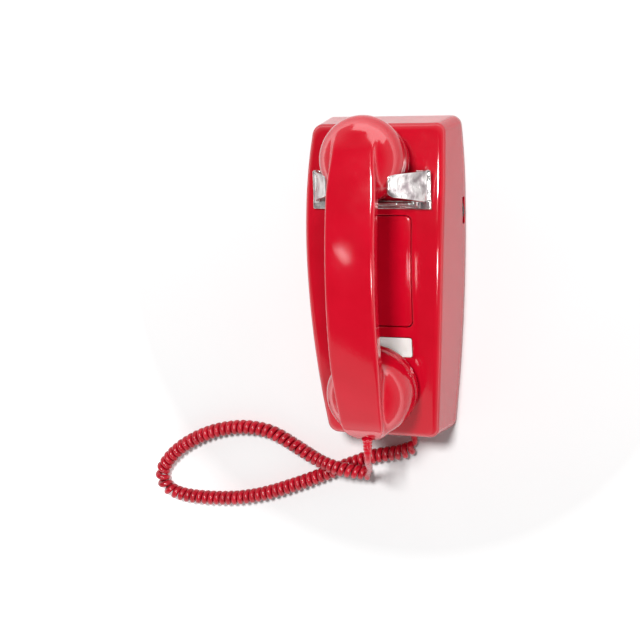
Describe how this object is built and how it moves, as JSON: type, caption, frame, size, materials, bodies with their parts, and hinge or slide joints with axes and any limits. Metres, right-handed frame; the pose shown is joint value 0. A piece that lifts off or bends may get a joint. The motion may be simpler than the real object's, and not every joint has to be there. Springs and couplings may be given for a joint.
{
  "type": "wall telephone",
  "caption": "Dial-less wall telephone: bowed housing, handset hung on a chromed cradle hook, and a curly cord looped beside it.",
  "frame": {"origin": "centre of the back plate's rear face, the face that rests on the wall or on a table", "axes": "+X to the telephone's right seen from the front, +Y to its top end, +Z out of its face; the telephone lies on its back"},
  "size_m": [0.2401, 0.2884, 0.104],
  "materials": {
    "red_plastic": "polished moulded plastic",
    "red_cord": "soft vinyl, half gloss",
    "chrome": "mirror plate",
    "steel": "zinc-plated sheet and wire",
    "brass": "plain",
    "copper": "enamelled wire",
    "black_plastic": "matt",
    "grey_plastic": "matt",
    "paper": "plain white card, no print",
    "clear_plastic": "clear, polished"
  },
  "bodies": {
    "base": {"housing": "red_plastic", "base_plate": "steel", "blank_panel": "red_plastic", "card_tray": "red_plastic", "number_card": "paper", "card_window": "clear_plastic", "cover_screw": "steel", "network_block": "grey_plastic", "terminal_screw_1": "brass", "terminal_screw_2": "brass", "terminal_screw_3": "brass", "terminal_screw_4": "brass", "terminal_screw_5": "brass", "terminal_screw_6": "brass", "plug_bracket": "steel", "line_plug": "clear_plastic", "volume_pin": "steel", "ringer_frame": "steel", "gong_left": "brass", "gong_right": "brass", "gong_screw_left": "steel", "gong_screw_right": "steel", "pole_piece_left": "steel", "pole_piece_right": "steel", "ringer_bobbin": "black_plastic", "ringer_winding": "copper", "ringer_core": "steel", "ringer_magnet": "grey_plastic", "armature_pin": "steel", "hook_bracket": "steel", "hook_pin": "steel", "hook_spring": "steel", "switch_frame": "black_plastic", "contact_leaf_1": "brass", "contact_leaf_2": "brass", "contact_leaf_3": "brass", "cord_gland": "red_plastic", "cord_coil": "red_cord", "cord_lead": "red_cord", "cord_tail": "red_cord"},
    "handset": {"handset_shell": "red_plastic", "receiver_cap": "red_plastic", "transmitter_cap": "red_plastic", "receiver_capsule": "grey_plastic", "transmitter_capsule": "steel", "transmitter_cup": "black_plastic", "handset_grommet": "red_plastic"},
    "hook": {"cradle_hook": "chrome", "hook_lever": "steel"},
    "plunger": {"switch_plunger": "black_plastic"},
    "clapper": {"armature": "steel", "clapper": "brass"},
    "volume": {"volume_wheel": "black_plastic"}
  },
  "joints": [
    {"name": "handset_lift", "type": "slide", "parent": "base", "child": "handset", "axis": [0, 0.9659, 0.2588], "range_m": [0, 0.05]},
    {"name": "hook_swing", "type": "hinge", "parent": "base", "child": "hook", "pos_m": [0, 0.066, 0.012], "axis": [-1, 0, 0], "range_deg": [0, 6]},
    {"name": "plunger_travel", "type": "slide", "parent": "base", "child": "plunger", "axis": [0, 1, 0], "range_m": [0, 0.001]},
    {"name": "clapper_swing", "type": "hinge", "parent": "base", "child": "clapper", "pos_m": [0, -0.054, 0.014], "axis": [0, 0, 1], "range_deg": [-3, 3]},
    {"name": "volume_turn", "type": "hinge", "parent": "base", "child": "volume", "pos_m": [0.0377, 0.045, 0.0055], "axis": [0, 0, 1], "range_deg": [-75, 75]}
  ],
  "couplings": [
    {"joint": "hook_swing", "follows": "handset_lift", "rad_per_m": 2.0943},
    {"joint": "plunger_travel", "follows": "handset_lift", "ratio": 0.02}
  ]
}
